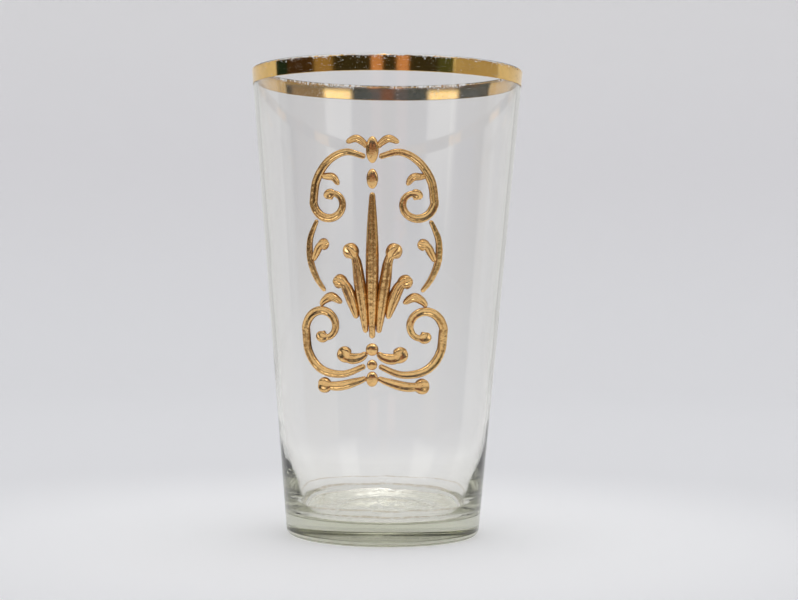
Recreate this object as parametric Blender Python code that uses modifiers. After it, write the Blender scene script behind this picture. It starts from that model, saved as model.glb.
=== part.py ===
"""A small tapered drinking glass with a gilt band on its rim and a raised gilt scroll ornament on its front.

Metres, +Z up. The origin is the centre of the standing ring under the base, and the ornament faces -Y.
The ornament is drawn flat, with u to the right and v up, and each stroke is then laid on the tapered wall.
"""

import math

import bmesh
import bpy
from mathutils import Matrix, Vector

MM = 0.001

# Glass body
HEIGHT = 89.4 * MM
RIM_RADIUS = 26 * MM
BASE_RADIUS = 18.5 * MM
WALL = 0.8 * MM
# (radius, height) of the inside in millimetres, from the middle of its floor to where the wall is even
INSIDE_KNOTS = [
    (0, 3.7), (6, 3.7), (11.5, 3.85), (14.4, 4.3), (15.8, 5.1), (16.5, 6.4),
    (17, 8.2), (17.6, 10.4), (18.3, 13.2), (18.95, 16.8), (19.55, 22),
]
BASE_ROUNDING = 1.4 * MM
RING_INNER_RADIUS = 15.2 * MM
HOLLOW_DEPTH = 0.4 * MM  # how far the underside is ground hollow inside the standing ring
TURNED_STEPS = 48

# Gilding
PASTE_GAP = 0.2 * MM  # between the glass and what lies on it
BAND_HEIGHT = 3.2 * MM
BAND_THICKNESS = 0.2 * MM

# Raised ornament
ORNAMENT_MIDDLE = 51.8 * MM  # height of the layout's origin
DOME = 0.62  # a stroke's height as a share of its half width
STROKE_STEP = 1.1 * MM
BEVEL_RESOLUTION = 1  # gives a stroke 6 sides
VOLUTE_SHRINK = 0.74  # what is left of a volute's radius after a quarter turn

TAPER = math.atan((RIM_RADIUS - BASE_RADIUS) / HEIGHT)


def outer_radius(z):
    return BASE_RADIUS + (RIM_RADIUS - BASE_RADIUS) * z / HEIGHT


def clear_scene():
    for old in list(bpy.data.objects):
        bpy.data.objects.remove(old)


def new_material(name, colour, roughness, metallic=0.0, transmission=0.0):
    material = bpy.data.materials.new(name)
    material.use_nodes = True
    shader = material.node_tree.nodes["Principled BSDF"]
    shader.inputs["Base Color"].default_value = (*colour, 1)
    shader.inputs["Roughness"].default_value = roughness
    shader.inputs["Metallic"].default_value = metallic
    shader.inputs["Transmission Weight"].default_value = transmission
    return material


def add_part(name, mesh, material, parent, origin=None):
    """A mesh in world coordinates becomes a part whose own origin is at origin."""
    part = bpy.data.objects.new(name, mesh)
    bpy.data.collections["drinking_glass"].objects.link(part)
    if origin is not None:
        mesh.transform(Matrix.Translation(-origin))
        part.location = origin
    part.parent = parent
    mesh.materials.clear()
    mesh.materials.append(material)
    mesh.shade_smooth()
    mesh.set_sharp_from_angle(angle=math.radians(50))
    return part


def turned(name, profile, closed, material, parent):
    """A profile of (radius, height) points turned about Z with a Screw modifier."""
    mesh = bpy.data.meshes.new(name)
    edges = [(i, i + 1) for i in range(len(profile) - 1)]
    if closed:
        edges.append((len(profile) - 1, 0))
    mesh.from_pydata([(radius, 0, z) for radius, z in profile], edges, [])
    part = add_part(name, mesh, material, parent)
    screw = part.modifiers.new("turn", "SCREW")
    screw.steps = TURNED_STEPS
    screw.render_steps = TURNED_STEPS
    screw.use_merge_vertices = True
    screw.merge_threshold = 0.01 * MM
    return part


def arc(centre, radii, start_degrees, end_degrees, steps):
    """Points on an ellipse from one angle to another, both ends included."""
    points = []
    for i in range(steps + 1):
        angle = math.radians(start_degrees + (end_degrees - start_degrees) * i / steps)
        points.append((centre[0] + radii[0] * math.cos(angle), centre[1] + radii[1] * math.sin(angle)))
    return points


def glass_profile():
    """From the middle of the inside floor, up the inside, over the lip, down the outside and under the base."""
    profile = [(max(0.0, radius) * MM, z * MM) for radius, z in smooth_curve(INSIDE_KNOTS, 2)]
    lip_z = HEIGHT - WALL / 2
    lip_centre = (outer_radius(lip_z) - WALL / 2, lip_z)
    profile += arc(lip_centre, (WALL / 2, WALL / 2), 180, 0, 6)
    edge_centre = (outer_radius(BASE_ROUNDING) - BASE_ROUNDING, BASE_ROUNDING)
    profile += arc(edge_centre, (BASE_ROUNDING, BASE_ROUNDING), 0, -90, 5)
    for i in range(5):
        share = 1 - i / 4
        profile.append((RING_INNER_RADIUS * share, HOLLOW_DEPTH * (1 - share**2)))
    return profile


def band_profile():
    """The rim gilding: a thin skin down the outside that also covers the crown of the lip."""
    lip_z = HEIGHT - WALL / 2
    centre = (outer_radius(lip_z) - WALL / 2, lip_z)
    foot = HEIGHT - BAND_HEIGHT
    near = WALL / 2 + PASTE_GAP
    far = near + BAND_THICKNESS
    outside = arc(centre, (far, far), 100, 0, 5)
    outside.append((outer_radius(foot) + PASTE_GAP + BAND_THICKNESS, foot))
    inside = [(outer_radius(foot) + PASTE_GAP, foot)]
    inside += arc(centre, (near, near), 0, 100, 5)
    return outside + inside


def on_glass(u, v, height):
    """The point of the flat layout, laid on the outside of the glass at a height above it."""
    z = ORNAMENT_MIDDLE + v * math.cos(TAPER)
    angle = u / outer_radius(z)
    outward = outer_radius(z) + height * math.cos(TAPER)
    return Vector((outward * math.sin(angle), -outward * math.cos(angle), z - height * math.sin(TAPER)))


def lay_on_glass(mesh):
    """Flattens a round shape to a dome with a flat underside and wraps it on the wall."""
    for vertex in mesh.vertices:
        u, v, height = vertex.co
        vertex.co = on_glass(u, v, PASTE_GAP + max(0.0, height) * DOME)


def volute(centre, radius, start_degrees, end_degrees):
    """A spiral of equal angle: radius is its radius at 0 degrees, and it tightens towards the end."""
    turn = 1 if end_degrees > start_degrees else -1
    count = round(abs(end_degrees - start_degrees) / 10)
    points = []
    for i in range(count + 1):
        degrees = start_degrees + (end_degrees - start_degrees) * i / count
        reach = radius * VOLUTE_SHRINK ** (turn * degrees / 90)
        angle = math.radians(degrees)
        points.append((centre[0] + reach * math.cos(angle), centre[1] + reach * math.sin(angle)))
    return points


def smooth_curve(knots, steps=8):
    """A curve through a few chosen points, by Catmull and Rom's rule."""
    ends = [tuple(2 * a - b for a, b in zip(knots[i], knots[j])) for i, j in ((0, 1), (-1, -2))]
    chain = [Vector(p) for p in (ends[0], *knots, ends[1])]
    points = []
    for before, start, end, after in zip(chain, chain[1:], chain[2:], chain[3:]):
        for i in range(steps):
            t = i / steps
            points.append(
                0.5
                * (
                    2 * start
                    + (end - before) * t
                    + (2 * before - 5 * start + 4 * end - after) * t**2
                    + (3 * start - before - 3 * end + after) * t**3
                )
            )
    return [tuple(p) for p in points] + [knots[-1]]


def even_points(points, step):
    """(place, distance from the start) at even steps along a line of points, and the line's length."""
    line = [Vector(p) for p in points]
    lengths = [0.0]
    for a, b in zip(line, line[1:]):
        lengths.append(lengths[-1] + (b - a).length)
    total = lengths[-1]
    count = max(4, round(total / step))
    places = []
    segment = 0
    for i in range(count + 1):
        distance = total * i / count
        while segment < len(line) - 2 and lengths[segment + 1] < distance:
            segment += 1
        share = (distance - lengths[segment]) / (lengths[segment + 1] - lengths[segment])
        places.append((line[segment].lerp(line[segment + 1], share), distance))
    return places, total


def half_width(distance, total, thin, thick, bulb):
    """A stroke swells from its ends to its middle. Both ends are rounded, and a bulb may close the far one."""
    width = thin + (thick - thin) * math.sin(math.pi * distance / total)
    if distance < thin:
        width *= math.sqrt(max(0.12, 1 - (1 - distance / thin) ** 2))
    left = total - distance
    ball = bulb or thin
    if left < 2 * ball:
        round_end = ball * math.sqrt(max(0.12, 1 - (left / ball - 1) ** 2))
        width = round_end if left < ball else max(width, round_end)
    return width


def add_stroke(name, path, thin, thick, bulb, side, material, parent):
    """A line of raised paste along a flat path, all in millimetres. side -1 mirrors it to the left."""
    data = bpy.data.curves.new(name, "CURVE")
    data.dimensions = "3D"
    data.bevel_depth = MM
    data.bevel_resolution = BEVEL_RESOLUTION
    data.use_fill_caps = True
    places, total = even_points(path, STROKE_STEP / MM)
    spline = data.splines.new("POLY")
    spline.points.add(len(places) - 1)
    for point, (place, distance) in zip(spline.points, places):
        point.co = (side * place.x * MM, place.y * MM, 0, 1)
        point.radius = half_width(distance, total, thin, thick, bulb)
    line = bpy.data.objects.new(name + "_line", data)
    bpy.context.scene.collection.objects.link(line)
    graph = bpy.context.evaluated_depsgraph_get()
    mesh = bpy.data.meshes.new_from_object(line.evaluated_get(graph))
    mesh.name = name
    bpy.data.objects.remove(line)
    shape = bmesh.new()
    shape.from_mesh(mesh)
    bmesh.ops.remove_doubles(shape, verts=shape.verts, dist=0.001 * MM)
    shape.to_mesh(mesh)
    shape.free()
    lay_on_glass(mesh)
    middle = places[len(places) // 2][0] * MM
    add_part(name, mesh, material, parent, on_glass(side * middle.x, middle.y, 0))


def add_bead(name, u, v, radii, material, parent):
    """A drop of raised paste with the given half width and half height, in millimetres."""
    shape = bmesh.new()
    bmesh.ops.create_uvsphere(shape, u_segments=12, v_segments=8, radius=1)
    low = min(radii)
    shape.transform(Matrix.Translation((u * MM, v * MM, 0)) @ Matrix.Diagonal((radii[0], radii[1], low, 1 / MM)) * MM)
    mesh = bpy.data.meshes.new(name)
    shape.to_mesh(mesh)
    shape.free()
    lay_on_glass(mesh)
    add_part(name, mesh, material, parent, on_glass(u * MM, v * MM, 0))


def ornament(material, parent):
    """Every stroke of the symmetric spray: leaves up the middle, and a pair of scrolls above and below."""
    pairs = (
        # name, path, half width at the ends, in the middle, and of the ball that closes it
        ("inner_leaf", smooth_curve([(1.15, -12.4), (1.8, -7), (2.4, -2.6), (3.1, 1.2), (5, 3.5)]), 0.4, 0.95, 1.4),
        ("outer_leaf", smooth_curve([(2.8, -9.8), (3.9, -6.1), (5.2, -3.6), (7.3, -2.7)]), 0.4, 0.95, 1.25),
        (
            "upper_scroll",
            smooth_curve([(1.75, 19.5), (4.9, 20.2), (8.3, 18.6), (10.7, 15.2), (11.4, 11.2)])
            + volute((7.6, 11.2), 3.8, 0, -330)[1:],
            0.45,
            0.75,
            1,
        ),
        ("scroll_leaf", smooth_curve([(8.8, 15.8), (7.3, 15.7), (6.2, 14.3)]), 0.3, 0.6, None),
        ("top_leaf", smooth_curve([(1.45, 21.7), (3, 22.6), (4.8, 21.9)]), 0.35, 0.6, None),
        ("side_stem", smooth_curve([(11, 7.2), (12.3, 4.2), (12.2, 0.8), (10.9, -2.4), (9, -4.6)]), 0.35, 0.6, None),
        ("side_leaf", smooth_curve([(10.9, 1.5), (10, 3.4), (8.2, 3.8)]), 0.35, 0.7, 1),
        (
            "lower_scroll",
            smooth_curve([(1.7, -18.7), (5.5, -20), (9.9, -19.2), (12.7, -16.1), (13.4, -11.6)])
            + volute((9.2, -11.6), 4.2, 0, 330)[1:],
            0.45,
            0.8,
            1.05,
        ),
        ("lower_tip", smooth_curve([(9.4, -6.9), (7.6, -5.9), (5.6, -7)]), 0.35, 0.75, None),
        ("upper_fork", smooth_curve([(1.9, -16.6), (4.2, -17), (6.1, -15.3)]), 0.4, 0.9, 1.35),
        ("lower_fork", smooth_curve([(2.2, -21), (6.4, -22.2), (10.6, -22)]), 0.4, 0.8, 1.35),
    )
    add_stroke("centre_leaf", smooth_curve([(0, -13.2), (0, 0), (0, 12.6)]), 0.45, 1.05, None, 1, material, parent)
    for name, path, thin, thick, bulb in pairs:
        for side, hand in ((-1, "left"), (1, "right")):
            add_stroke(f"{name}_{hand}", path, thin, thick, bulb, side, material, parent)
    beads = (
        ("top_collar", 20.6, (1.0, 2.2)),
        ("leaf_bud", 15.4, (0.95, 1.6)),
        ("stem_bead", -15.4, (1.0, 1.0)),
        ("middle_bead", -18.2, (0.8, 0.8)),
        ("bottom_bead", -20.8, (0.95, 1.25)),
    )
    for name, v, radii in beads:
        add_bead(name, 0, v, radii, material, parent)


def main():
    clear_scene()
    collection = bpy.data.collections.new("drinking_glass")
    bpy.context.scene.collection.children.link(collection)
    root = bpy.data.objects.new("standing_ring_centre", None)
    collection.objects.link(root)
    glass = new_material("clear_glass", (0.95, 0.97, 0.94), 0.02, transmission=1.0)
    band_gold = new_material("rim_gilding", (0.75, 0.52, 0.22), 0.18, metallic=1.0)
    paste_gold = new_material("raised_gilding", (0.68, 0.42, 0.16), 0.3, metallic=1.0)
    turned("glass_body", glass_profile(), False, glass, root)
    turned("rim_gilding", band_profile(), True, band_gold, root)
    ornament(paste_gold, root)


main()
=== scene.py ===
"""The looks of a gilded drinking glass: blown glass, a worn gilt rim band and a raised gilt spray."""

import math

import bmesh
import bpy
from mathutils import Matrix, Vector


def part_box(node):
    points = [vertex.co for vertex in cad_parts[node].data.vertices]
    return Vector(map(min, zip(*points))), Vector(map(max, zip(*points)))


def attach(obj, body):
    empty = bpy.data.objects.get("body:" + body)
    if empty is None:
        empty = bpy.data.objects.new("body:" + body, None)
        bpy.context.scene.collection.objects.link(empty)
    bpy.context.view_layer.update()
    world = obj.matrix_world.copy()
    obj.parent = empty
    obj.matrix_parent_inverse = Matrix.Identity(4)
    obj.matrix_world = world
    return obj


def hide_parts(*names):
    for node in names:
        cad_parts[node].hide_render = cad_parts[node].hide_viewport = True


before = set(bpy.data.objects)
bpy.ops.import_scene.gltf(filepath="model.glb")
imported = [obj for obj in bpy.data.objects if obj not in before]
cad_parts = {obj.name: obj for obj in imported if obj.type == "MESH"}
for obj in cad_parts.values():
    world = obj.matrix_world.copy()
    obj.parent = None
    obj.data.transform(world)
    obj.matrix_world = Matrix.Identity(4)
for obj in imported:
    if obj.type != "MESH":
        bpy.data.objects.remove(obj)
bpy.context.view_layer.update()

MM = 0.001

# Glass
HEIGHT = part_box("glass_body")[1].z
RIM_RADIUS = 26 * MM
BASE_RADIUS = 18.5 * MM
WIDENING = (RIM_RADIUS - BASE_RADIUS) / HEIGHT  # of the outside's radius, for each metre up
TAPER = math.atan(WIDENING)
WALL = 0.8 * MM
INSIDE_LOW = 22 * MM  # the wall is even above this height
# (radius, height) of the inside below it, in millimetres
INSIDE_KNOTS = [
    (0, 3.7), (6, 3.7), (11.5, 3.85), (14.4, 4.3), (15.8, 5.1), (16.5, 6.4),
    (17, 8.2), (17.6, 10.4), (18.3, 13.2), (18.95, 16.8), (19.55, 22),
]
BASE_ROUNDING = 1.4 * MM
RING_INNER_RADIUS = 15.2 * MM
HOLLOW_DEPTH = 0.4 * MM

# Rim band
BAND_HEIGHT = 3.2 * MM
BAND_END = 105  # degrees from level, round the lip, at which the gilding ends
FILM = 0.07 * MM  # how far the gilding's outside stands off the glass
FILM_GAP = 0.012 * MM

# How finely the glass and the band are turned, and how uneven the blown surface is
STEPS_AROUND = 240
WALL_STEPS, LIP_STEPS, EDGE_STEPS, HOLLOW_STEPS, HEEL_STEPS = 56, 12, 10, 16, 9
BAND_WALL_STEPS, BAND_LIP_STEPS = 12, 14
WAVE_DEPTH, WAVE_SIZE, WAVE_SEED = 0.12 * MM, 9 * MM, 3.0
INSIDE_WAVES, OUTSIDE_WAVES, HOLLOW_WAVES = 0.8, 0.1, 0.5  # the share of the waves that each surface has

# Raised ornament, drawn flat in millimetres about a point on the glass's front
ORNAMENT_MIDDLE = 51.8 * MM
STROKE_STEP = 0.16  # millimetres along a stroke
STROKE_SIDES = 28
PASTE_GRAIN = {"Grain Depth": 0.1 * MM, "Grain Size": 0.7 * MM}
VOLUTE_SHRINK = 0.74  # what is left of a volute's radius after a quarter turn
VOLUTE_STEP = 5  # degrees
TIP_FLOOR = 0.02  # keeps the width of a round end from coming down to nothing
BEAD_STEPS = 24
BEAD_TIP = 0.02  # the share of a bead's half turn that is left out at each end
SEED_STEP, BEAD_SEED = 1.7, 90

# Residue of old drinks inside the base: heights where each ring starts, is full, starts to fade and ends
LOW_RESIDUE = (4.8 * MM, 4.95 * MM, 5.2 * MM, 5.35 * MM)
HIGH_RESIDUE = (6.5 * MM, 6.6 * MM, 6.8 * MM, 6.95 * MM)

# Studio
PAPER_Z = -0.05 * MM  # the glass stands this much above the paper, so that their faces don't meet
PAPER_RADIUS, PAPER_BEND, PAPER_TOP = 0.42, 0.24, 0.5
PAPER_STEPS_AROUND, PAPER_BEND_STEPS = 96, 16
LIGHT_PLACE, LIGHT_TARGET, LIGHT_SIDE, LIGHT_WATTS = (0.05, 0.1, 0.9), (0, 0, 0.03), 0.7, 1.4

# Camera
LENS, SENSOR = 76.7, 36  # millimetres
CAMERA_DISTANCE = 0.3286
CAMERA_HEIGHT = 0.0491
CAMERA_AZIMUTH = math.radians(5.5)
CAMERA_PITCH = math.radians(0.68)
CAMERA_ROLL = math.radians(0.6)
CAMERA_OFFSET = 2.7 * MM  # to the right of the glass's axis
FRONT = (math.sin(CAMERA_AZIMUTH), -math.cos(CAMERA_AZIMUTH), 0)  # from the glass to the camera
RIGHT = (math.cos(CAMERA_AZIMUTH), math.sin(CAMERA_AZIMUTH), 0)


# ---------------------------------------------------------------- node helpers


def put(tree, kind, inputs=(), **settings):
    """A new node with its settings, and its inputs set or, where a value is a socket, linked."""
    made = tree.nodes.new(kind)
    for name, value in settings.items():
        setattr(made, name, value)
    for key, value in dict(inputs).items():
        if isinstance(value, bpy.types.NodeSocket):
            tree.links.new(value, made.inputs[key])
        else:
            made.inputs[key].default_value = value
    return made


def calc(tree, operation, *values):
    return put(tree, "ShaderNodeMath", enumerate(values), operation=operation).outputs[0]


def product(tree, first, *others):
    for other in others:
        first = calc(tree, "MULTIPLY", first, other)
    return first


def largest(tree, first, *others):
    for other in others:
        first = calc(tree, "MAXIMUM", first, other)
    return first


def weighted(tree, *pairs):
    """The sum of (value, weight) pairs."""
    total = product(tree, *pairs[0])
    for pair in pairs[1:]:
        total = calc(tree, "ADD", total, product(tree, *pair))
    return total


def centred(tree, value):
    """Brings noise, which is about one half, to about zero."""
    return calc(tree, "SUBTRACT", value, 0.5)


def xyz(tree, vector):
    return put(tree, "ShaderNodeSeparateXYZ", {0: vector}).outputs


def from_xyz(tree, *parts):
    return put(tree, "ShaderNodeCombineXYZ", enumerate(parts)).outputs[0]


def from_axis(tree, parts):
    """How far a place, given by its parts, is from the glass's axis."""
    flat = from_xyz(tree, parts[0], parts[1])
    return put(tree, "ShaderNodeVectorMath", {0: flat}, operation="LENGTH").outputs["Value"]


def blend_values(tree, share, first, second):
    return put(tree, "ShaderNodeMix", {"Factor": share, "A": first, "B": second}).outputs[0]


def blend_colours(tree, share, first, second, how="MIX"):
    """Slots 0, 6 and 7 of a Mix node are its factor and its two colours, and output 2 is the colour."""
    inputs = {0: share, 6: first, 7: second}
    return put(tree, "ShaderNodeMix", inputs, data_type="RGBA", blend_type=how).outputs[2]


def span(tree, value, low, high, out_low=0.0, out_high=1.0):
    """Maps low..high of a value to out_low..out_high with soft ends."""
    inputs = {"Value": value, "From Min": low, "From Max": high, "To Min": out_low, "To Max": out_high}
    return put(tree, "ShaderNodeMapRange", inputs, interpolation_type="SMOOTHSTEP").outputs[0]


def plateau(tree, value, start, full, fade, end):
    """0 up to start, 1 from full to fade, and 0 again from end."""
    return calc(tree, "MULTIPLY", span(tree, value, start, full), span(tree, value, end, fade))


def noise_at(tree, place, size, detail, **inputs):
    """Noise with features of about a size, which is a number of metres."""
    inputs |= {"Vector": place, "Scale": 1 / size, "Detail": detail}
    return put(tree, "ShaderNodeTexNoise", inputs).outputs[0]


def seeded_noise(tree, place, size, seed, detail):
    """The noise node that shapes a mesh. Its size and seed are sockets."""
    inputs = {"Vector": place, "W": seed, "Scale": calc(tree, "DIVIDE", 1, size), "Detail": detail}
    return put(tree, "ShaderNodeTexNoise", inputs, noise_dimensions="4D").outputs


def new_tree(name, kind, inputs, outputs):
    """A node group with named inputs, each with a default value, and named outputs."""
    tree = bpy.data.node_groups.new(name, kind)
    for socket_name, socket_type, default in inputs:
        socket = tree.interface.new_socket(name=socket_name, in_out="INPUT", socket_type=socket_type)
        if default is not None:
            socket.default_value = default
    for socket_name, socket_type in outputs:
        tree.interface.new_socket(name=socket_name, in_out="OUTPUT", socket_type=socket_type)
    return tree, put(tree, "NodeGroupInput").outputs, put(tree, "NodeGroupOutput")


def end_tree(tree, out, mesh, merge_distance, material):
    """Closes the seams of a geometry tree's mesh, makes it smooth and real, and gives it its material."""
    merged = put(tree, "GeometryNodeMergeByDistance", {"Geometry": mesh, "Distance": merge_distance})
    smooth = put(tree, "GeometryNodeSetShadeSmooth", {"Geometry": merged.outputs[0]})
    real = put(tree, "GeometryNodeRealizeInstances", {"Geometry": smooth.outputs[0]})
    painted = put(tree, "GeometryNodeSetMaterial", {"Geometry": real.outputs[0], "Material": material})
    tree.links.new(painted.outputs[0], out.inputs[0])


def line_object(name, points):
    """An object that is one line of edges through the points."""
    mesh = bpy.data.meshes.new(name)
    mesh.from_pydata(points, [(i, i + 1) for i in range(len(points) - 1)], [])
    line = bpy.data.objects.new(name, mesh)
    bpy.context.scene.collection.objects.link(line)
    return line


def finished_mesh(obj, tree, values, name):
    """Runs a geometry tree on an object and keeps the result as a plain mesh object at the origin."""
    modifier = obj.modifiers.new(tree.name, "NODES")
    modifier.node_group = tree
    identifiers = {item.name: item.identifier for item in tree.interface.items_tree if item.in_out == "INPUT"}
    for key, value in values.items():
        modifier[identifiers[key]] = value
    graph = bpy.context.evaluated_depsgraph_get()
    mesh = bpy.data.meshes.new_from_object(obj.evaluated_get(graph))
    mesh.name = name
    obj.modifiers.remove(modifier)
    bpy.data.objects.remove(obj)
    piece = bpy.data.objects.new(name, mesh)
    bpy.context.scene.collection.objects.link(piece)
    return piece


def finish_piece(piece, node):
    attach(piece, "root")
    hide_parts(node)


# ---------------------------------------------------------------- geometry trees


def turned_form_tree():
    """Turns a profile about Z. A profile point is (radius, share of the waves, height)."""
    tree, given, out = new_tree(
        "turned_form",
        "GeometryNodeTree",
        [
            ("Profile", "NodeSocketGeometry", None),
            ("Profile Points", "NodeSocketInt", 10),
            ("Steps Around", "NodeSocketInt", 64),
            ("Wave Depth", "NodeSocketFloat", 0.0),
            ("Wave Size", "NodeSocketFloat", 0.01),
            ("Seed", "NodeSocketFloat", 0.0),
            ("Material", "NodeSocketMaterial", None),
        ],
        [("Geometry", "NodeSocketGeometry")],
    )
    count, around = given["Profile Points"], given["Steps Around"]
    columns = calc(tree, "ADD", around, 1)
    grid = put(tree, "GeometryNodeMeshGrid", {"Vertices X": columns, "Vertices Y": count})
    index = put(tree, "GeometryNodeInputIndex").outputs[0]
    column = calc(tree, "FLOOR", calc(tree, "DIVIDE", calc(tree, "ADD", index, 0.5), count))
    row = calc(tree, "SUBTRACT", index, calc(tree, "MULTIPLY", column, count))
    angle = calc(tree, "MULTIPLY", calc(tree, "DIVIDE", column, around), math.tau)
    cosine, sine = calc(tree, "COSINE", angle), calc(tree, "SINE", angle)
    profile = {"Geometry": given["Profile"], "Index": row}
    sample = put(tree, "GeometryNodeSampleIndex", profile, data_type="FLOAT_VECTOR")
    tree.links.new(put(tree, "GeometryNodeInputPosition").outputs[0], sample.inputs["Value"])
    radius, waves, height = xyz(tree, sample.outputs[0])
    # Both faces of a wall read the waves on one cylinder, so the wall stays even
    cylinder = (calc(tree, "MULTIPLY", cosine, RIM_RADIUS), calc(tree, "MULTIPLY", sine, RIM_RADIUS), height)
    noise = seeded_noise(tree, from_xyz(tree, *cylinder), given["Wave Size"], given["Seed"], 1.5)
    wave = product(tree, centred(tree, noise[0]), given["Wave Depth"], waves)
    off_axis = span(tree, radius, 0.0, 4 * MM)
    radius = calc(tree, "ADD", radius, calc(tree, "MULTIPLY", wave, off_axis))
    place = from_xyz(tree, product(tree, radius, cosine), product(tree, radius, sine), height)
    moved = put(tree, "GeometryNodeSetPosition", {"Geometry": grid.outputs[0], "Position": place})
    outwards = put(tree, "GeometryNodeFlipFaces", {"Mesh": moved.outputs[0]})
    end_tree(tree, out, outwards.outputs[0], 0.002 * MM, given["Material"])
    return tree


def paste_stroke_tree():
    """Sweeps a dome of paste along a flat line, gives it ridges and grain, and lays it on the tapered wall.

    The line is edges end to end, and its attribute half_width is the stroke's half width in metres. The new
    attribute crest is 0 at a stroke's foot and about 1 on its ridges.
    """
    tree, given, out = new_tree(
        "paste_stroke",
        "GeometryNodeTree",
        [
            ("Line", "NodeSocketGeometry", None),
            ("Dome", "NodeSocketFloat", 0.6),
            ("Ridges", "NodeSocketFloat", 1.0),
            ("Ridge Depth", "NodeSocketFloat", 0.2),
            ("Grain Depth", "NodeSocketFloat", 0.05 * MM),
            ("Grain Size", "NodeSocketFloat", 0.5 * MM),
            ("Seed", "NodeSocketFloat", 0.0),
            ("Sink", "NodeSocketFloat", 0.03 * MM),
            ("Sides", "NodeSocketInt", STROKE_SIDES),
            ("Material", "NodeSocketMaterial", None),
        ],
        [("Geometry", "NodeSocketGeometry")],
    )
    half = put(tree, "GeometryNodeInputNamedAttribute", {"Name": "half_width"}, data_type="FLOAT").outputs[0]
    line = put(tree, "GeometryNodeMeshToCurve", {"Mesh": given["Line"]})
    circle = put(tree, "GeometryNodeCurvePrimitiveCircle", {"Resolution": given["Sides"], "Radius": 1.0})
    sweep = {"Curve": line.outputs[0], "Profile Curve": circle.outputs[0], "Scale": half, "Fill Caps": True}
    swept = put(tree, "GeometryNodeCurveToMesh", sweep)

    # Where a point is on the swept round section: up is -1..1, and across is 0 at its top and 1 at its sides
    position = put(tree, "GeometryNodeInputPosition").outputs[0]
    sideways, along, upwards = xyz(tree, position)
    up = calc(tree, "DIVIDE", upwards, half)
    up = calc(tree, "MINIMUM", calc(tree, "MAXIMUM", up, -1.0), 1.0)
    across = calc(tree, "SUBTRACT", 1, calc(tree, "MULTIPLY", up, up))
    across = calc(tree, "SQRT", calc(tree, "MAXIMUM", across, 0))

    # The height over the glass: a dome with ridges along it and grain on top. The lower half sinks flat
    grain = seeded_noise(tree, position, given["Grain Size"], given["Seed"], 1.5)
    bumps = calc(tree, "MULTIPLY", centred(tree, grain[0]), given["Grain Depth"])
    groove = calc(tree, "COSINE", product(tree, across, given["Ridges"], math.pi))
    relief = calc(tree, "SUBTRACT", 1, calc(tree, "MULTIPLY", given["Ridge Depth"], groove))
    rounded = calc(tree, "POWER", calc(tree, "MAXIMUM", up, 0), 0.8)
    crest = calc(tree, "MULTIPLY", rounded, relief)
    off_foot = span(tree, up, 0.02, 0.35)
    top = calc(tree, "ADD", product(tree, crest, half, given["Dome"]), product(tree, bumps, off_foot))
    is_top = calc(tree, "GREATER_THAN", up, 0.01)
    height = blend_values(tree, is_top, calc(tree, "MULTIPLY", given["Sink"], -1), top)

    # The drawing is bent round the taper about a point on its front, and the grain also moves it sideways
    z = calc(tree, "ADD", calc(tree, "MULTIPLY", along, math.cos(TAPER)), ORNAMENT_MIDDLE)
    wall = calc(tree, "ADD", calc(tree, "MULTIPLY", z, WIDENING), BASE_RADIUS)
    wobble = centred(tree, xyz(tree, grain[1])[0])
    shift = calc(tree, "MULTIPLY", wobble, calc(tree, "MULTIPLY", given["Grain Depth"], 1.2))
    angle = calc(tree, "DIVIDE", calc(tree, "ADD", sideways, shift), wall)
    outward = calc(tree, "ADD", wall, calc(tree, "MULTIPLY", height, math.cos(TAPER)))
    place = from_xyz(
        tree,
        calc(tree, "MULTIPLY", outward, calc(tree, "SINE", angle)),
        product(tree, outward, calc(tree, "COSINE", angle), -1),
        calc(tree, "SUBTRACT", z, calc(tree, "MULTIPLY", height, math.sin(TAPER))),
    )
    mark = {"Geometry": swept.outputs[0], "Name": "crest", "Value": calc(tree, "MAXIMUM", crest, 0)}
    marked = put(tree, "GeometryNodeStoreNamedAttribute", mark, data_type="FLOAT", domain="POINT")
    moved = put(tree, "GeometryNodeSetPosition", {"Geometry": marked.outputs[0], "Position": place})
    end_tree(tree, out, moved.outputs[0], 0.0005 * MM, given["Material"])
    return tree


# ---------------------------------------------------------------- materials


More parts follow.
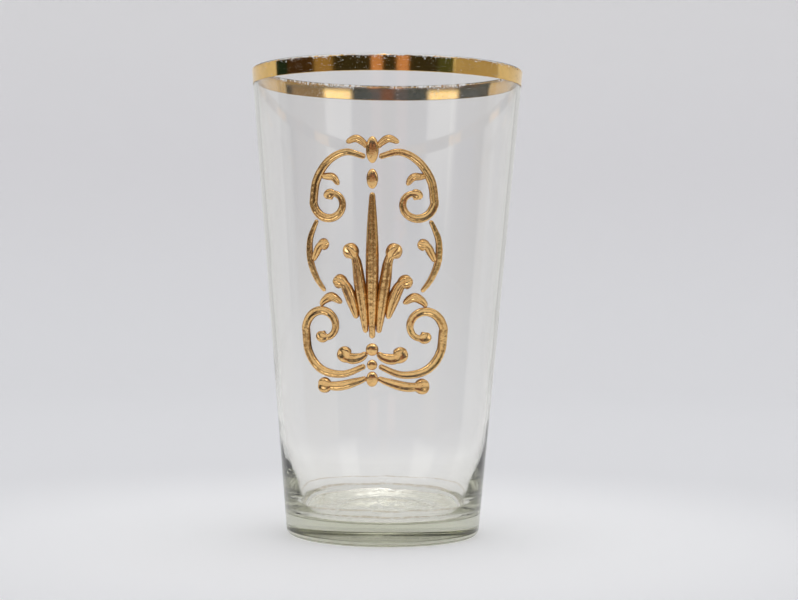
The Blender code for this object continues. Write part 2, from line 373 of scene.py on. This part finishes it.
def gilding_wear_group():
    """Gold that is bright where it is rubbed, dull in the hollows, spotted with tarnish, and darkened by
    painted shade along its foot.

    Relief is 0 in a hollow and 1 on a ridge. Bare is 1 where the gold has gone.
    """
    tree, given, out = new_tree(
        "gilding_wear",
        "ShaderNodeTree",
        [
            ("Bright", "NodeSocketColor", (1, 1, 1, 1)),
            ("Dull", "NodeSocketColor", (1, 1, 1, 1)),
            ("Tarnish", "NodeSocketColor", (1, 1, 1, 1)),
            ("Relief", "NodeSocketFloat", 1.0),
            ("Tarnish Amount", "NodeSocketFloat", 0.3),
            ("Patch Size", "NodeSocketFloat", 3 * MM),
            ("Grain Size", "NodeSocketFloat", 0.3 * MM),
            ("Smooth Roughness", "NodeSocketFloat", 0.15),
            ("Dull Roughness", "NodeSocketFloat", 0.45),
            ("Pinholes", "NodeSocketFloat", 0.0),
        ],
        [
            ("Color", "NodeSocketColor"),
            ("Roughness", "NodeSocketFloat"),
            ("Height", "NodeSocketFloat"),
            ("Bare", "NodeSocketFloat"),
        ],
    )
    place = put(tree, "ShaderNodeTexCoord").outputs["Object"]

    def noise(size, detail, distortion):
        scale = calc(tree, "DIVIDE", 1, size)
        inputs = {"Vector": place, "Scale": scale, "Detail": detail, "Distortion": distortion}
        return put(tree, "ShaderNodeTexNoise", inputs).outputs[0]

    patches = noise(given["Patch Size"], 5.0, 0.4)
    grain = noise(given["Grain Size"], 4.0, 0.0)
    hollow = span(tree, given["Relief"], 0.75, 0.15)

    # Dull gold
    mottled = weighted(tree, (grain, 0.55), (patches, 0.45))
    dullness = span(tree, calc(tree, "ADD", calc(tree, "MULTIPLY", hollow, 0.4), mottled), 0.42, 0.8)
    colour = blend_colours(tree, dullness, given["Bright"], given["Dull"])
    rough = blend_values(tree, dullness, given["Smooth Roughness"], given["Dull Roughness"])

    # Tarnish, in patches and in the hollows, and painted shade along the foot, where the paste meets the
    # glass
    stained = weighted(tree, (patches, 0.7), (hollow, 0.3))
    edge = calc(tree, "SUBTRACT", 1.0, given["Tarnish Amount"])
    stain = span(tree, stained, edge, calc(tree, "ADD", edge, 0.22))
    # Painted shade: the tarnish colour darkens the foot in patches
    foot = calc(tree, "MULTIPLY", span(tree, given["Relief"], 0.3, 0.05), span(tree, patches, 0.36, 0.56))
    stain = largest(tree, stain, calc(tree, "MULTIPLY", foot, 0.85))
    colour = blend_colours(tree, stain, colour, given["Tarnish"])
    rough = calc(tree, "ADD", rough, calc(tree, "MULTIPLY", stain, 0.12))

    # Pinholes down to the glass
    cells = {"Vector": place, "Scale": calc(tree, "DIVIDE", 0.6, given["Grain Size"])}
    dot = span(tree, put(tree, "ShaderNodeTexVoronoi", cells).outputs[0], 0.2, 0.1)
    bare = product(tree, dot, span(tree, patches, 0.5, 0.62), given["Pinholes"])
    for name, socket in (("Color", colour), ("Roughness", rough), ("Height", grain), ("Bare", bare)):
        tree.links.new(socket, out.inputs[name])
    return tree


def new_material(name):
    material = bpy.data.materials.new(name)
    material.use_nodes = True
    return material, material.node_tree, material.node_tree.nodes["Principled BSDF"]


def add_bump(tree, shader, height, strength, depth):
    bump = put(tree, "ShaderNodeBump", {"Height": height, "Strength": strength, "Distance": depth})
    tree.links.new(bump.outputs[0], shader.inputs["Normal"])


def gild(tree, shader, wear, values, bump_strength, bump_depth):
    """Makes a shader worn gold, and gives the wear group's node."""
    gold = put(tree, "ShaderNodeGroup", values, node_tree=wear)
    tree.links.new(gold.outputs["Color"], shader.inputs["Base Color"])
    tree.links.new(gold.outputs["Roughness"], shader.inputs["Roughness"])
    add_bump(tree, shader, gold.outputs["Height"], bump_strength, bump_depth)
    shader.inputs["Metallic"].default_value = 1
    return gold


def raised_gilding_material(wear):
    """Fired gold on the paste: satin on the ridges, brown in the hollows, and darkened with painted shade at
    the strokes' feet.
    """
    material, tree, shader = new_material("raised_gilding")
    values = {
        "Bright": (0.9, 0.58, 0.25, 1),
        "Dull": (0.5, 0.25, 0.08, 1),
        "Tarnish": (0.1, 0.055, 0.025, 1),
        "Relief": put(tree, "ShaderNodeAttribute", attribute_name="crest").outputs["Fac"],
        "Tarnish Amount": 0.42,
        "Patch Size": 2.2 * MM,
        "Grain Size": 0.35 * MM,
        "Smooth Roughness": 0.18,
        "Dull Roughness": 0.4,
    }
    gild(tree, shader, wear, values, 0.55, 0.05 * MM)
    return material


def rim_gilding_material(wear):
    """Burnished gold: chipped and gone over the top of the lip, scratched, and ragged at its foot."""
    material, tree, shader = new_material("rim_gilding")
    values = {
        "Bright": (0.84, 0.55, 0.19, 1),
        "Dull": (0.62, 0.38, 0.12, 1),
        "Tarnish": (0.22, 0.12, 0.045, 1),
        "Relief": 1.0,
        "Tarnish Amount": 0.36,
        "Patch Size": 4 * MM,
        "Grain Size": 0.22 * MM,
        "Smooth Roughness": 0.07,
        "Dull Roughness": 0.2,
        "Pinholes": 1.0,
    }
    gold = gild(tree, shader, wear, values, 0.25, 0.01 * MM)
    place = put(tree, "ShaderNodeTexCoord").outputs["Object"]
    x, y, z = xyz(tree, place)
    chips = noise_at(tree, place, 0.8 * MM, 4.0)
    broad = noise_at(tree, place, 7 * MM, 1.0)
    crumbs = noise_at(tree, place, 0.26 * MM, 3.0)

    reach = calc(tree, "MULTIPLY", weighted(tree, (chips, 1.5), (broad, 0.5)), 0.6 * MM)
    crown = span(tree, calc(tree, "ADD", z, reach), HEIGHT + 0.28 * MM, HEIGHT + 0.36 * MM)
    near_top = span(tree, z, HEIGHT - 1.4 * MM, HEIGHT, 0.0, 0.19)
    worn = calc(tree, "ADD", weighted(tree, (crumbs, 0.7), (broad, 0.45)), near_top)
    specks = span(tree, worn, 0.725, 0.755)
    squashed = from_xyz(tree, x, y, calc(tree, "MULTIPLY", z, 14))
    lines = span(tree, noise_at(tree, squashed, 1.6 * MM, 2.0), 0.63, 0.655)
    scratches = product(tree, lines, span(tree, crumbs, 0.42, 0.6), 0.8)
    foot = HEIGHT - BAND_HEIGHT + 0.12 * MM
    ragged = calc(tree, "ADD", z, calc(tree, "MULTIPLY", chips, 0.12 * MM))
    below = span(tree, ragged, foot + 0.07 * MM, foot + 0.04 * MM)
    gone = largest(tree, crown, below, gold.outputs["Bare"], specks, scratches)
    tree.links.new(calc(tree, "SUBTRACT", 1, gone), shader.inputs["Alpha"])
    return material


def clear_glass_material():
    """Old glass: clear in the wall, grey-green where light goes far through it, stained round the floor."""
    material, tree, shader = new_material("clear_glass")
    shader.inputs["Transmission Weight"].default_value = 1
    shader.inputs["IOR"].default_value = 1.51
    place = put(tree, "ShaderNodeTexCoord").outputs["Object"]
    parts = xyz(tree, place)
    z, away = parts[2], from_axis(tree, parts)

    # Two rings of residue, on the inside only: the lower one is heavier, and both waver
    inside_of = calc(tree, "ADD", calc(tree, "MULTIPLY", z, WIDENING), BASE_RADIUS - 0.3 * MM)
    is_inside = calc(tree, "LESS_THAN", away, inside_of)
    crumbs = noise_at(tree, place, 0.9 * MM, 6.0, Roughness=0.65)
    drift = noise_at(tree, place, 6 * MM, 3.0)
    level = calc(tree, "ADD", z, calc(tree, "MULTIPLY", centred(tree, drift), 0.7 * MM))
    tilted = calc(tree, "ADD", level, calc(tree, "MULTIPLY", parts[1], 0.03))
    low = product(tree, plateau(tree, tilted, *LOW_RESIDUE), span(tree, crumbs, 0.3, 0.58))
    high = product(tree, plateau(tree, level, *HIGH_RESIDUE), span(tree, crumbs, 0.32, 0.58, 0.0, 0.85))
    stain = calc(tree, "MULTIPLY", largest(tree, low, high), is_inside)
    strength = calc(tree, "MULTIPLY", stain, 0.8)
    colour = blend_colours(tree, strength, (1, 0.996, 0.988, 1), (0.5, 0.36, 0.2, 1))
    tree.links.new(colour, shader.inputs["Base Color"])

    # A faint haze, and dull residue
    haze = span(tree, noise_at(tree, place, 14 * MM, 5.0), 0.5, 0.8, 0.0, 0.02)
    rough = calc(tree, "ADD", haze, calc(tree, "MULTIPLY", stain, 0.25))
    tree.links.new(rough, shader.inputs["Roughness"])

    # The pressed hollow under the base is uneven
    ground = noise_at(tree, place, 3.2 * MM, 3.0, Distortion=0.6)
    is_low = span(tree, z, 0.9 * MM, 0.5 * MM)
    uneven = product(tree, ground, is_low, span(tree, away, 17 * MM, 16 * MM))
    add_bump(tree, shader, uneven, 1.0, 0.22 * MM)

    absorption = put(tree, "ShaderNodeVolumeAbsorption", {"Color": (0.65, 0.66, 0.5, 1), "Density": 36.0})
    tree.links.new(absorption.outputs[0], tree.nodes["Material Output"].inputs["Volume"])
    return material


# ---------------------------------------------------------------- glass and rim


def outer_radius(z):
    return BASE_RADIUS + WIDENING * z


def arc(centre, radius, start_degrees, end_degrees, steps):
    """Profile points of an outside surface, on a circle from one angle to another."""
    points = []
    for i in range(steps + 1):
        angle = math.radians(start_degrees + (end_degrees - start_degrees) * i / steps)
        r, z = centre[0] + radius * math.cos(angle), centre[1] + radius * math.sin(angle)
        points.append((r, OUTSIDE_WAVES, z))
    return points


def glass_profile():
    """From the middle of the inside floor, up the inside, over the lip, down the outside and under."""
    profile = [(max(0.0, r) * MM, INSIDE_WAVES, z * MM) for r, z in smooth_curve(INSIDE_KNOTS, HEEL_STEPS)]
    lip_z = HEIGHT - WALL / 2
    for i in range(1, WALL_STEPS):
        share = i / WALL_STEPS
        z = INSIDE_LOW + (lip_z - INSIDE_LOW) * share
        waves = INSIDE_WAVES + (OUTSIDE_WAVES - INSIDE_WAVES) * share
        profile.append((outer_radius(z) - WALL, waves, z))
    profile += arc((outer_radius(lip_z) - WALL / 2, lip_z), WALL / 2, 180, 0, LIP_STEPS)
    for i in range(1, WALL_STEPS):
        z = lip_z + (BASE_ROUNDING - lip_z) * i / WALL_STEPS
        profile.append((outer_radius(z), OUTSIDE_WAVES, z))
    edge_centre = (outer_radius(BASE_ROUNDING) - BASE_ROUNDING, BASE_ROUNDING)
    profile += arc(edge_centre, BASE_ROUNDING, 0, -90, EDGE_STEPS)
    for i in range(HOLLOW_STEPS + 1):
        share = 1 - i / HOLLOW_STEPS
        z = HOLLOW_DEPTH * (1 - share**2)
        profile.append((RING_INNER_RADIUS * share, HOLLOW_WAVES * (1 - share), z))
    return profile


def band_profile():
    """A closed thin skin: up the outside of the wall, over the lip, and back down against the glass."""
    lip_z = HEIGHT - WALL / 2
    centre = (outer_radius(lip_z) - WALL / 2, lip_z)
    foot = HEIGHT - BAND_HEIGHT
    outside = arc(centre, WALL / 2 + FILM, BAND_END, 0, BAND_LIP_STEPS)
    inside = arc(centre, WALL / 2 + FILM_GAP, 0, BAND_END, BAND_LIP_STEPS)
    for i in range(1, BAND_WALL_STEPS + 1):
        z = lip_z + (foot - lip_z) * i / BAND_WALL_STEPS
        outside.append((outer_radius(z) + FILM, OUTSIDE_WAVES, z))
        inside.insert(0, (outer_radius(z) + FILM_GAP, OUTSIDE_WAVES, z))
    return outside + inside + outside[:1]


def turned(name, tree, profile, material):
    """A piece turned from its profile."""
    values = {
        "Profile Points": len(profile),
        "Steps Around": STEPS_AROUND,
        "Wave Depth": WAVE_DEPTH,
        "Wave Size": WAVE_SIZE,
        "Seed": WAVE_SEED,
        "Material": material,
    }
    return finished_mesh(line_object(name + "_profile", profile), tree, values, name)


# ---------------------------------------------------------------- raised ornament


def volute(centre, radius, start_degrees, end_degrees):
    """A spiral of equal angle: radius is its radius at 0 degrees, and it tightens towards the end."""
    turn = 1 if end_degrees > start_degrees else -1
    count = round(abs(end_degrees - start_degrees) / VOLUTE_STEP)
    points = []
    for i in range(count + 1):
        degrees = start_degrees + (end_degrees - start_degrees) * i / count
        reach = radius * VOLUTE_SHRINK ** (turn * degrees / 90)
        angle = math.radians(degrees)
        points.append((centre[0] + reach * math.cos(angle), centre[1] + reach * math.sin(angle)))
    return points


def smooth_curve(knots, steps=12):
    """A curve through a few chosen points, by Catmull and Rom's rule."""
    ends = [tuple(2 * a - b for a, b in zip(knots[i], knots[j])) for i, j in ((0, 1), (-1, -2))]
    chain = [Vector(p) for p in (ends[0], *knots, ends[1])]
    points = []
    for before, start, end, after in zip(chain, chain[1:], chain[2:], chain[3:]):
        for i in range(steps):
            t = i / steps
            points.append(
                0.5
                * (
                    2 * start
                    + (end - before) * t
                    + (2 * before - 5 * start + 4 * end - after) * t**2
                    + (3 * start - before - 3 * end + after) * t**3
                )
            )
    return [tuple(p) for p in points] + [knots[-1]]


def even_points(points, step):
    """(place, distance from the start) at even steps along a line of points, and the line's length."""
    line = [Vector(p) for p in points]
    lengths = [0.0]
    for a, b in zip(line, line[1:]):
        lengths.append(lengths[-1] + (b - a).length)
    total = lengths[-1]
    count = max(4, round(total / step))
    places = []
    segment = 0
    for i in range(count + 1):
        distance = total * i / count
        while segment < len(line) - 2 and lengths[segment + 1] < distance:
            segment += 1
        share = (distance - lengths[segment]) / (lengths[segment + 1] - lengths[segment])
        places.append((line[segment].lerp(line[segment + 1], share), distance))
    return places, total


def roundness(distance, radius):
    """The share of its full width that a round end has at a distance from its tip."""
    return math.sqrt(max(TIP_FLOOR, 1 - (1 - distance / radius) ** 2))


def half_width(distance, total, thin, thick, ball):
    """A stroke swells from its ends to its middle. Both ends are round, and a ball may close the far one."""
    width = thin + (thick - thin) * math.sin(math.pi * distance / total)
    if distance < thin:
        width *= roundness(distance, thin)
    left = total - distance
    ball = ball or thin
    if left < 2 * ball:
        round_end = ball * roundness(left, ball)
        width = round_end if left < ball else max(width, round_end)
    return width


def lay_stroke(name, tree, places, side, values):
    """One stroke of paste from (place, half width) pairs in millimetres. side -1 mirrors it to the left."""
    line = line_object(name + "_line", [(side * place[0] * MM, place[1] * MM, 0) for place, _ in places])
    widths = line.data.attributes.new("half_width", "FLOAT", "POINT")
    widths.data.foreach_set("value", [width * MM for _, width in places])
    finish_piece(finished_mesh(line, tree, values, name + "_gilt"), name)


# Sections: how high a stroke's dome is for its half width, and its ridges
FINE = {"Dome": 0.62, "Ridges": 1.0, "Ridge Depth": 0.12}
LEAF = {"Dome": 0.6, "Ridges": 2.0, "Ridge Depth": 0.34}
FULL = {"Dome": 0.66, "Ridges": 1.0, "Ridge Depth": 0.3}

# Strokes laid in mirrored pairs: name, section, half width at the ends, in the middle and of the ball that
# closes it, the volute that it runs into (centre, radius, first and last degree), and the path's knots
PAIRS = (
    ("inner_leaf", LEAF, (0.45, 1.1, 1.5), None,
     [(1.15, -12.4), (1.8, -7), (2.4, -2.6), (3.1, 1.2), (5, 3.5)]),
    ("outer_leaf", LEAF, (0.45, 1.1, 1.35), None,
     [(2.8, -9.8), (3.9, -6.1), (5.2, -3.6), (7.3, -2.7)]),
    ("upper_scroll", FULL, (0.5, 0.82, 1.05), ((7.6, 11.2), 3.8, 0, -330),
     [(1.2, 19.3), (4.9, 20.2), (8.3, 18.6), (10.7, 15.2), (11.4, 11.2)]),
    ("scroll_leaf", LEAF, (0.4, 0.7, None), None,
     [(9.9, 16), (8.8, 15.9), (7.3, 15.7), (6.2, 14.3)]),
    ("top_leaf", LEAF, (0.4, 0.7, None), None,
     [(0.9, 20.9), (1.6, 21.8), (3, 22.6), (4.8, 21.9)]),
    ("side_stem", FINE, (0.4, 0.7, None), None,
     [(10.6, 8.1), (11.4, 6.6), (12.3, 4.2), (12.2, 0.8), (10.9, -2.4), (9, -4.9)]),
    ("side_leaf", LEAF, (0.4, 0.8, 1.1), None,
     [(11.6, 0.6), (10.9, 2), (10, 3.4), (8.2, 3.8)]),
    ("lower_scroll", FULL, (0.5, 0.88, 1.15), ((9.2, -11.6), 4.2, 0, 330),
     [(1.2, -18.4), (5.5, -20), (9.9, -19.2), (12.7, -16.1), (13.4, -11.6)]),
    ("lower_tip", LEAF, (0.4, 0.85, None), None,
     [(10, -7.6), (9.2, -6.6), (7.6, -5.9), (5.6, -7)]),
    ("upper_fork", FULL, (0.45, 1.0, 1.45), None,
     [(0.9, -16), (2.2, -16.9), (4.2, -17), (6.1, -15.3)]),
    ("lower_fork", FULL, (0.45, 0.9, 1.45), None,
     [(1, -20.6), (2.8, -21.3), (6.4, -22.2), (10.6, -22)]),
)
CENTRE_KNOTS, CENTRE_WIDTHS = [(0, -13.4), (0, 0), (0, 13)], (0.5, 1.2, None)

# Drops up the middle: name, height, half width and half height
BEADS = (
    ("top_collar", 20.6, 1.15, 2.4),
    ("leaf_bud", 15.4, 1.05, 1.8),
    ("stem_bead", -15.4, 1.15, 1.15),
    ("middle_bead", -18.2, 0.95, 0.95),
    ("bottom_bead", -20.8, 1.1, 1.4),
)


def ornament(tree, material):
    """The symmetric spray: leaves up the middle, and a pair of scrolls above and below."""
    shared = {**PASTE_GRAIN, "Sides": STROKE_SIDES, "Material": material}
    strokes = [("centre_leaf", smooth_curve(CENTRE_KNOTS), CENTRE_WIDTHS, 1, LEAF)]
    for name, section, widths, scroll, knots in PAIRS:
        path = smooth_curve(knots)
        if scroll:
            path += volute(*scroll)[1:]
        strokes += [(name + "_left", path, widths, -1, section), (name + "_right", path, widths, 1, section)]
    for number, (name, path, widths, side, section) in enumerate(strokes):
        places, total = even_points(path, STROKE_STEP)
        outline = [(place, half_width(distance, total, *widths)) for place, distance in places]
        lay_stroke(name, tree, outline, side, {**shared, **section, "Seed": number * SEED_STEP})
    for number, (name, middle, half_wide, half_high) in enumerate(BEADS):
        outline = []
        for i in range(BEAD_STEPS + 1):
            turn = math.pi * (BEAD_TIP + (1 - 2 * BEAD_TIP) * i / BEAD_STEPS)
            outline.append(((0, middle - half_high * math.cos(turn)), half_wide * math.sin(turn)))
        lay_stroke(name, tree, outline, 1, {**shared, **FINE, "Seed": BEAD_SEED + number * SEED_STEP})


# ---------------------------------------------------------------- studio


def add_overhead_light():
    data = bpy.data.lights.new("overhead", "AREA")
    data.shape = "RECTANGLE"
    data.size = data.size_y = LIGHT_SIDE
    data.energy = LIGHT_WATTS
    light = bpy.data.objects.new("overhead", data)
    bpy.context.scene.collection.objects.link(light)
    light.location = LIGHT_PLACE
    downwards = Vector(LIGHT_TARGET) - Vector(LIGHT_PLACE)
    light.rotation_euler = downwards.to_track_quat("-Z", "Y").to_euler()
    light.visible_glossy = False
    light.visible_camera = False


def cyclorama_mesh():
    """A round floor that curves up into a wall."""
    profile = [(radius, PAPER_Z) for radius in (0, 0.1, 0.25, PAPER_RADIUS)]
    for i in range(1, PAPER_BEND_STEPS + 1):
        angle = math.radians(90 * i / PAPER_BEND_STEPS)
        rise = PAPER_BEND - PAPER_BEND * math.cos(angle)
        profile.append((PAPER_RADIUS + PAPER_BEND * math.sin(angle), PAPER_Z + rise))
    profile.append((PAPER_RADIUS + PAPER_BEND, PAPER_TOP))
    shape = bmesh.new()
    turns = [math.tau * i / PAPER_STEPS_AROUND for i in range(PAPER_STEPS_AROUND)]
    rings = []
    for radius, z in profile:
        ring_turns = turns if radius else turns[:1]
        rings.append([shape.verts.new((radius * math.cos(t), radius * math.sin(t), z)) for t in ring_turns])
    for low, high in zip(rings, rings[1:]):
        for i in range(PAPER_STEPS_AROUND):
            j = (i + 1) % PAPER_STEPS_AROUND
            inner = low if len(low) == 1 else (low[j], low[i])
            shape.faces.new((high[i], high[j], *inner))
    mesh = bpy.data.meshes.new("cyclorama")
    shape.to_mesh(mesh)
    shape.free()
    mesh.shade_smooth()
    return mesh


def studio_paper_material():
    """White paper that glows a little round the glass, where bounced light would reach it.

    Rays that a polished surface has mirrored pass through its wall, and see the room.
    """
    material, tree, shader = new_material("studio_paper")
    parts = xyz(tree, put(tree, "ShaderNodeTexCoord").outputs["Object"])
    z, away = parts[2], from_axis(tree, parts)
    # Painted light: the paper's tone follows how light falls on it, a little darker low on the wall and
    # lighter on the floor and high on the wall
    colour = blend_colours(tree, span(tree, z, 0.0, 0.12), (0.8, 0.805, 0.82, 1), (0.775, 0.77, 0.785, 1))
    colour = blend_colours(tree, span(tree, z, 0.1, 0.22), colour, (0.82, 0.815, 0.82, 1))
    tree.links.new(colour, shader.inputs["Base Color"])
    shader.inputs["Roughness"].default_value = 1
    shader.inputs["Specular IOR Level"].default_value = 0
    around_glass = span(tree, away, 0.13, 0.02, 0.03, 0.19)
    # Painted light: the paper under the base glows, standing in for light that comes through the glass
    under_glass = span(tree, away, 18.6 * MM, 17.6 * MM, 0.0, 0.2)
    tree.links.new(calc(tree, "ADD", around_glass, under_glass), shader.inputs["Emission Strength"])
    shader.inputs["Emission Color"].default_value = (1, 1, 0.97, 1)
    glossy_depth = put(tree, "ShaderNodeLightPath").outputs["Glossy Depth"]
    mirrored = calc(tree, "GREATER_THAN", glossy_depth, 0.5)
    opening = calc(tree, "MULTIPLY", mirrored, span(tree, away, 0.16, 0.5))
    clear = put(tree, "ShaderNodeBsdfTransparent").outputs[0]
    see_room = put(tree, "ShaderNodeMixShader", {0: opening, 1: shader.outputs[0], 2: clear})
    tree.links.new(see_room.outputs[0], tree.nodes["Material Output"].inputs["Surface"])
    return material


def add_cyclorama():
    mesh = cyclorama_mesh()
    mesh.materials.append(studio_paper_material())
    cyclorama = bpy.data.objects.new("cyclorama", mesh)
    bpy.context.scene.collection.objects.link(cyclorama)


def add_room():
    """The room that polished surfaces mirror: paper behind, and a dim room with two windows in front.

    Bearing is in degrees from the camera's side of the glass, rising to the camera's right. Rays that have
    gone into the glass and out of it once see paler tones, as the thick base gathers light from all round.
    """
    world = bpy.data.worlds.new("room")
    bpy.context.scene.world = world
    world.use_nodes = True
    tree = world.node_tree
    ray = put(tree, "ShaderNodeTexCoord").outputs["Generated"]
    sideways, forward = (
        put(tree, "ShaderNodeVectorMath", {0: ray, 1: axis}, operation="DOT_PRODUCT").outputs["Value"]
        for axis in (RIGHT, FRONT)
    )
    bearing = calc(tree, "MULTIPLY", calc(tree, "ARCTAN2", sideways, forward), 180 / math.pi)
    elevation = calc(tree, "MULTIPLY", calc(tree, "ARCSINE", xyz(tree, ray)[2]), 180 / math.pi)
    path = put(tree, "ShaderNodeLightPath").outputs
    once_through = calc(tree, "COMPARE", path["Transmission Depth"], 2.0, 0.5)

    dark = (0.04, 0.04, 0.032, 1)
    slate, orange, window = (0.05, 0.085, 0.2, 1), (0.62, 0.36, 0.3, 1), (1.6, 1.6, 1.6, 1)
    paper = blend_colours(tree, once_through, (0.74, 0.74, 0.74, 1), (0.5, 0.5, 0.49, 1))
    patches = (
        # bearing from, to, elevation from, to, softness, colour
        (-92, -63, -30, 8, 2, (0.06, 0.04, 0.03, 1)),
        (-63, -46, -30, 8, 2.5, (0.32, 0.25, 0.17, 1)),
        (-13, -3.5, -30, 8, 1.5, orange),
        (8, 18, -30, 8, 1.5, orange),
        (43, 57, -30, 8, 2, (0.075, 0.1, 0.06, 1)),
        (57, 59, -30, 8, 0.7, (0.8, 0.8, 0.7, 1)),
        (59, 106, -30, 8, 1, (0.46, 0.42, 0.34, 1)),
        (106, 200, -60, 60, 2, paper),
        (-200, -106, -60, 60, 1.5, paper),
        (-106, -92, -30, 8, 1, (0.015, 0.035, 0.035, 1)),
        (-94, 98, 9, 20, 2.5, slate),
        (-6, 6, 9, 20, 3, (0.2, 0.09, 0.06, 1)),
        (62, 98, 9, 20, 3, (0.3, 0.27, 0.24, 1)),
        (34, 61, 11, 26, 3, window),
        (-68, -38, 11, 26, 3, window),
        (-13, 7, 42, 60, 2, (5, 5, 5, 1)),
    )
    colour = blend_colours(tree, span(tree, elevation, 21, 29), dark, (0.7, 0.69, 0.67, 1))
    for left, right, low, high, soft, tint in patches:
        is_across = plateau(tree, bearing, left - soft, left + soft, right - soft, right + soft)
        is_up = plateau(tree, elevation, low - soft, low + soft, high - soft, high + soft)
        colour = blend_colours(tree, calc(tree, "MULTIPLY", is_across, is_up), colour, tint)
    colour = blend_colours(tree, span(tree, elevation, -16, -30), colour, (0.6, 0.6, 0.62, 1))
    colour = blend_colours(tree, once_through, colour, (0.45, 0.45, 0.44, 1), "LIGHTEN")
    mirrored = calc(tree, "GREATER_THAN", path["Glossy Depth"], 0.5)
    colour = blend_colours(tree, mirrored, (0.72, 0.72, 0.735, 1), colour)
    tree.links.new(colour, tree.nodes["Background"].inputs["Color"])


def add_camera():
    data = bpy.data.cameras.new("camera")
    data.lens, data.sensor_width = LENS, SENSOR
    data.clip_start, data.clip_end = 0.01, 20
    camera = bpy.data.objects.new("camera", data)
    bpy.context.scene.collection.objects.link(camera)
    back_off, aside = Vector(FRONT) * CAMERA_DISTANCE, Vector(RIGHT) * CAMERA_OFFSET
    camera.location = back_off + aside + Vector((0, 0, CAMERA_HEIGHT))
    level = Matrix.Rotation(CAMERA_AZIMUTH, 4, "Z") @ Matrix.Rotation(math.radians(90), 4, "X")
    tilted = level @ Matrix.Rotation(-CAMERA_PITCH, 4, "X") @ Matrix.Rotation(CAMERA_ROLL, 4, "Z")
    camera.rotation_euler = tilted.to_euler()
    bpy.context.scene.camera = camera


# ---------------------------------------------------------------- assembly

bpy.context.scene.view_settings.view_transform = "Standard"
bpy.context.scene.cycles.max_bounces = 16
bpy.context.scene.cycles.glossy_bounces = 10
bpy.context.scene.cycles.transmission_bounces = 14
bpy.context.scene.cycles.transparent_max_bounces = 8
gilding_wear = gilding_wear_group()
turned_form = turned_form_tree()
paste_stroke = paste_stroke_tree()

glass = turned("glass_body_blown", turned_form, glass_profile(), clear_glass_material())
finish_piece(glass, "glass_body")
band = turned("rim_gilding_skin", turned_form, band_profile(), rim_gilding_material(gilding_wear))
finish_piece(band, "rim_gilding")
ornament(paste_stroke, raised_gilding_material(gilding_wear))

add_cyclorama()
add_room()
add_overhead_light()
add_camera()
